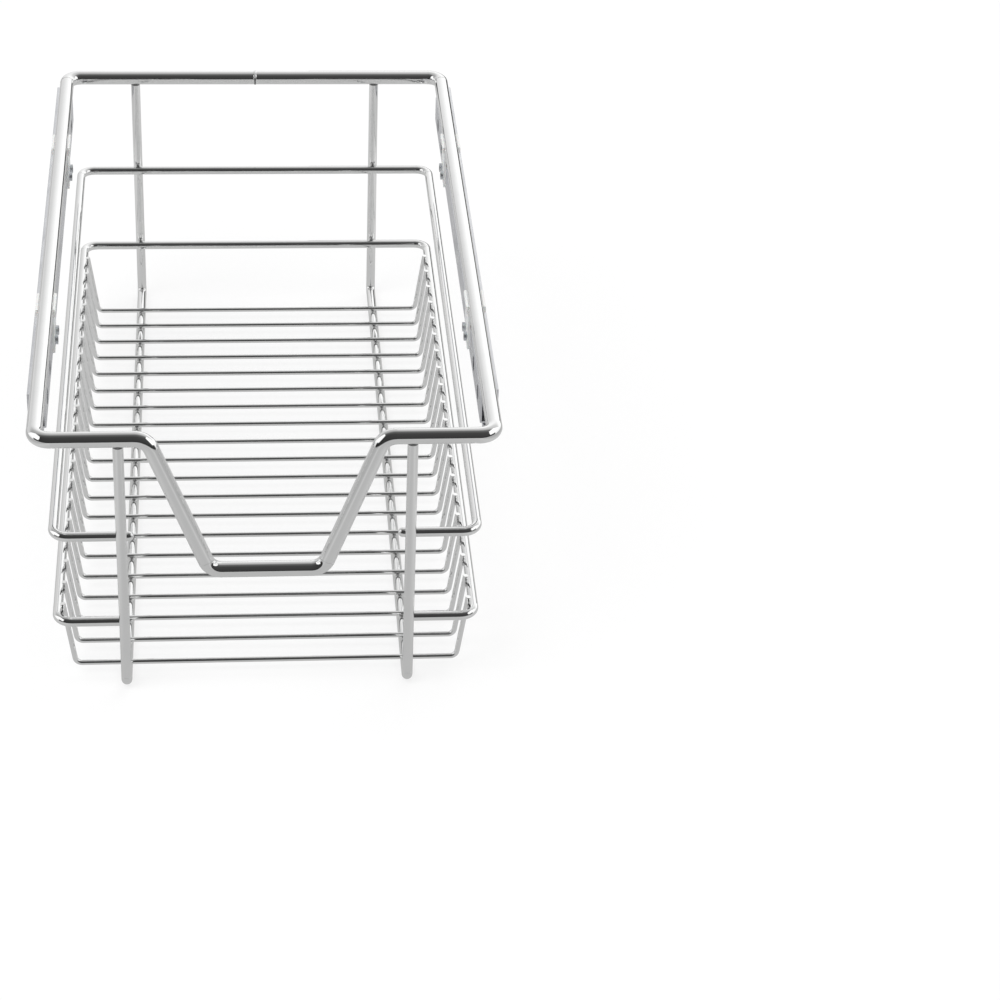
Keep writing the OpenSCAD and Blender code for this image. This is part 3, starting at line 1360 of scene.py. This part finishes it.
@dataclass
class Studio:
    """White studio with a pale floor, soft lamps and the cards round the metal.

    Attributes:
        world_level: Strength of the light from all round.
        floor_half: Half the floor's side in metres.
        floor_drop: How far the floor lies under the basket's feet, in metres.
        floor: The floor's finish.
        lamps: The lamps.
        sweep: The sheet over the basket.
        table_half: Half the width of the table top in metres.
        strip_x: Where the dark strip begins and ends, in metres.
        strip_y: How far behind the basket's middle it stands, in metres.
        strip_top: Its height in metres.
        strip_level: Its level.
        side_x: How far the side cards stand from the middle, in metres.
        side_y: Where they begin and end from front to back, in metres.
        side_z: Where they begin and end in height, in metres.
        side_level: Their level.
    """

    world_level: float = 0.72
    floor_half: float = 30.0
    floor_drop: float = 0.0005
    floor: PaleFloor = PaleFloor()
    lamps: tuple[SoftLamp, ...] = (
        SoftLamp("key_lamp", (-1.2, -0.9, 2.2), watts=26.0),
        SoftLamp("back_lamp", (0.9, 1.3, 2.0), watts=12.0),
    )
    sweep: Sweep = Sweep()
    table_half: float = 3.0
    strip_x: Span = (0.05, 0.9)
    strip_y: float = 0.75
    strip_top: float = 0.166
    strip_level: float = 0.08
    side_x: float = 1.2
    side_y: Span = (-1.0, 0.3)
    side_z: Span = (0.4, 1.6)
    side_level: float = 1.1

    def build_world(self) -> None:
        """Lights everything evenly and shows white behind the object."""
        world = bpy.data.worlds.new("studio_world")
        bpy.context.scene.world = world
        world.use_nodes = True
        nodes, links = world.node_tree.nodes, world.node_tree.links
        nodes.clear()
        path = nodes.new("ShaderNodeLightPath")
        shown = path.outputs["Is Camera Ray"]
        for kind in ("Is Glossy Ray", "Is Transmission Ray"):
            either = nodes.new("ShaderNodeMath")
            either.operation = "MAXIMUM"
            links.new(shown, either.inputs[0])
            links.new(path.outputs[kind], either.inputs[1])
            shown = either.outputs[0]
        strength = nodes.new("ShaderNodeMapRange")
        links.new(shown, strength.inputs["Value"])
        strength.inputs["To Min"].default_value = self.world_level
        strength.inputs["To Max"].default_value = 1.0
        back = nodes.new("ShaderNodeBackground")
        back.inputs["Color"].default_value = grey(1.0)
        links.new(strength.outputs["Result"], back.inputs["Strength"])
        out = nodes.new("ShaderNodeOutputWorld")
        links.new(back.outputs["Background"], out.inputs["Surface"])

    def build_floor(self) -> None:
        """Lays the floor under the basket."""
        half = self.floor_half
        mesh = bpy.data.meshes.new("studio_floor")
        corners = [(-half, -half, 0), (half, -half, 0), (half, half, 0), (-half, half, 0)]
        mesh.from_pydata(corners, [], [(0, 1, 2, 3)])
        floor = bpy.data.objects.new("studio_floor", mesh)
        floor.location.z = -self.floor_drop
        bpy.context.scene.collection.objects.link(floor)
        floor.data.materials.append(self.floor.material())

    def cards(self) -> list[Card]:
        """Lists the flat cards that give the chrome its soft greys and dark marks.

        Returns:
            The table top, the dark strip behind the basket and the two side cards.
        """
        table = Card(
            "table_top",
            (-self.table_half, -self.sweep.front, 0.0),
            (self.table_half, self.sweep.back, 0.0),
            TableFace(),
        )
        strip = Card(
            "dark_strip",
            (self.strip_x[0], self.strip_y, 0.0),
            (self.strip_x[1], self.strip_y, self.strip_top),
            CardFace("strip_face", self.strip_level),
        )
        sides = [
            Card(
                f"side_card_{side.word}",
                (side.value * self.side_x, self.side_y[0], self.side_z[0]),
                (side.value * self.side_x, self.side_y[1], self.side_z[1]),
                CardFace("side_face", self.side_level),
            )
            for side in Side
        ]
        return [table, strip, *sides]

    def build(self) -> None:
        """Builds the whole studio."""
        bpy.context.scene.view_settings.view_transform = "Standard"
        self.build_world()
        self.build_floor()
        for lamp in self.lamps:
            lamp.build()
        self.sweep.build()
        for card in self.cards():
            card.build()
        Viewpoint().build()


def main() -> None:
    """Builds the basket, the runners and the studio in order."""
    logging.basicConfig(level=logging.INFO, format="%(name)s: %(message)s")
    WireBasket().build()
    Welds().build()
    finishes = RunnerFinishes()
    for side in Side:
        SideRunner(side, finishes).dress()
    Studio().build()


if __name__ == "__main__":
    main()
